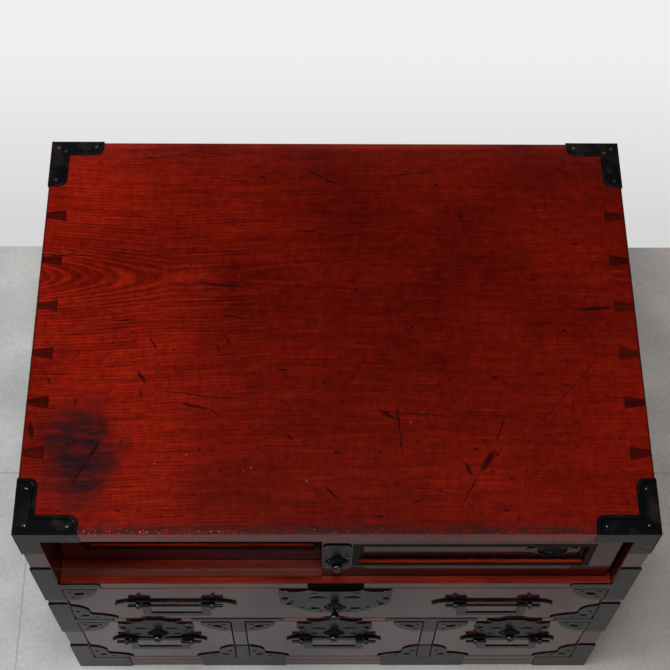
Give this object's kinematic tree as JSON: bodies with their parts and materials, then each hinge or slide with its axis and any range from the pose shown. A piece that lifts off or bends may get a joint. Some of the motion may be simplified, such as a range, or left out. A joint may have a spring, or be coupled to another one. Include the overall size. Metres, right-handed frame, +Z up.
{
  "type": "tansu sea chest",
  "caption": "Lacquered wooden sea chest with black iron fittings: sliding doors above a wide drawer and a row of small drawers, with bail handles and push-button locks.",
  "frame": {"origin": "On the floor, in the middle of the chest's outer box, lock buttons included.", "axes": "+Z up, the front with its doors and drawers faces -Y, +X to the right of someone who looks at the front."},
  "size_m": [0.606, 0.4596, 0.454],
  "materials": {
    "red_lacquer": "glossy red-brown lacquer over straight-grained wood, worn along the edges",
    "plain_wood": "planed and unfinished light wood inside the chest",
    "black_iron": "blackened sheet and forged iron, half matt"
  },
  "bodies": {
    "chest": {"top_board": "red_lacquer", "left_side_board": "red_lacquer", "right_side_board": "red_lacquer", "back_panel": "red_lacquer", "base_front_rail": "red_lacquer", "bottom_board": "red_lacquer", "middle_rail": "red_lacquer", "middle_shelf": "plain_wood", "door_sill": "red_lacquer", "upper_shelf": "plain_wood", "left_divider": "red_lacquer", "right_divider": "red_lacquer", "front_left_corner_iron": "black_iron", "front_right_corner_iron": "black_iron", "rear_left_corner_iron": "black_iron", "rear_right_corner_iron": "black_iron", "left_sill_iron": "black_iron", "right_sill_iron": "black_iron", "left_rail_iron": "black_iron", "right_rail_iron": "black_iron", "left_base_iron": "black_iron", "right_base_iron": "black_iron"},
    "left_door": {"left_door_frame": "red_lacquer", "left_door_panel": "red_lacquer", "left_door_pull": "black_iron"},
    "right_door": {"right_door_frame": "red_lacquer", "right_door_panel": "red_lacquer", "right_door_pull": "black_iron", "door_lock_plate": "black_iron"},
    "door_button": {"door_lock_button": "black_iron"},
    "wide_drawer": {"wide_drawer_front": "red_lacquer", "wide_drawer_box": "plain_wood", "wide_drawer_bottom": "plain_wood", "wide_lock_plate": "black_iron", "wide_left_handle_mount": "black_iron", "wide_right_handle_mount": "black_iron"},
    "wide_button": {"wide_lock_button": "black_iron"},
    "wide_left_bail": {"wide_left_handle_bail": "black_iron"},
    "wide_right_bail": {"wide_right_handle_bail": "black_iron"},
    "left_drawer": {"left_drawer_front": "red_lacquer", "left_drawer_box": "plain_wood", "left_drawer_bottom": "plain_wood", "left_lock_plate": "black_iron", "left_handle_mount": "black_iron"},
    "left_button": {"left_lock_button": "black_iron"},
    "left_bail": {"left_handle_bail": "black_iron"},
    "middle_drawer": {"middle_drawer_front": "red_lacquer", "middle_drawer_box": "plain_wood", "middle_drawer_bottom": "plain_wood", "middle_lock_plate": "black_iron", "middle_handle_mount": "black_iron"},
    "middle_button": {"middle_lock_button": "black_iron"},
    "middle_bail": {"middle_handle_bail": "black_iron"},
    "right_drawer": {"right_drawer_front": "red_lacquer", "right_drawer_box": "plain_wood", "right_drawer_bottom": "plain_wood", "right_lock_plate": "black_iron", "right_handle_mount": "black_iron"},
    "right_button": {"right_lock_button": "black_iron"},
    "right_bail": {"right_handle_bail": "black_iron"}
  },
  "joints": [
    {"name": "left_door_slide", "type": "slide", "parent": "chest", "child": "left_door", "axis": [1, 0, 0], "range_m": [-0.0042, 0.265]},
    {"name": "right_door_slide", "type": "slide", "parent": "chest", "child": "right_door", "axis": [1, 0, 0], "range_m": [-0.265, 0.0042]},
    {"name": "wide_drawer_slide", "type": "slide", "parent": "chest", "child": "wide_drawer", "axis": [0, -1, 0], "range_m": [0, 0.33]},
    {"name": "left_drawer_slide", "type": "slide", "parent": "chest", "child": "left_drawer", "axis": [0, -1, 0], "range_m": [0, 0.33]},
    {"name": "middle_drawer_slide", "type": "slide", "parent": "chest", "child": "middle_drawer", "axis": [0, -1, 0], "range_m": [0, 0.33]},
    {"name": "right_drawer_slide", "type": "slide", "parent": "chest", "child": "right_drawer", "axis": [0, -1, 0], "range_m": [0, 0.33]},
    {"name": "wide_left_bail_swing", "type": "hinge", "parent": "wide_drawer", "child": "wide_left_bail", "pos_m": [-0.168, -0.21825, 0.2505], "axis": [-1, 0, 0], "range_deg": [0, 165]},
    {"name": "wide_right_bail_swing", "type": "hinge", "parent": "wide_drawer", "child": "wide_right_bail", "pos_m": [0.166, -0.21825, 0.2505], "axis": [-1, 0, 0], "range_deg": [0, 165]},
    {"name": "left_bail_swing", "type": "hinge", "parent": "left_drawer", "child": "left_bail", "pos_m": [-0.19725, -0.21825, 0.117], "axis": [-1, 0, 0], "range_deg": [0, 150]},
    {"name": "middle_bail_swing", "type": "hinge", "parent": "middle_drawer", "child": "middle_bail", "pos_m": [0, -0.21825, 0.117], "axis": [-1, 0, 0], "range_deg": [0, 150]},
    {"name": "right_bail_swing", "type": "hinge", "parent": "right_drawer", "child": "right_bail", "pos_m": [0.19725, -0.21825, 0.117], "axis": [-1, 0, 0], "range_deg": [0, 150]},
    {"name": "door_button_push", "type": "slide", "parent": "right_door", "child": "door_button", "axis": [0, 1, 0], "range_m": [0, 0.006], "stiffness_N_per_m": 250, "springref_m": -0.004},
    {"name": "wide_button_push", "type": "slide", "parent": "wide_drawer", "child": "wide_button", "axis": [0, 1, 0], "range_m": [0, 0.006], "stiffness_N_per_m": 250, "springref_m": -0.004},
    {"name": "left_button_push", "type": "slide", "parent": "left_drawer", "child": "left_button", "axis": [0, 1, 0], "range_m": [0, 0.006], "stiffness_N_per_m": 250, "springref_m": -0.004},
    {"name": "middle_button_push", "type": "slide", "parent": "middle_drawer", "child": "middle_button", "axis": [0, 1, 0], "range_m": [0, 0.006], "stiffness_N_per_m": 250, "springref_m": -0.004},
    {"name": "right_button_push", "type": "slide", "parent": "right_drawer", "child": "right_button", "axis": [0, 1, 0], "range_m": [0, 0.006], "stiffness_N_per_m": 250, "springref_m": -0.004}
  ]
}
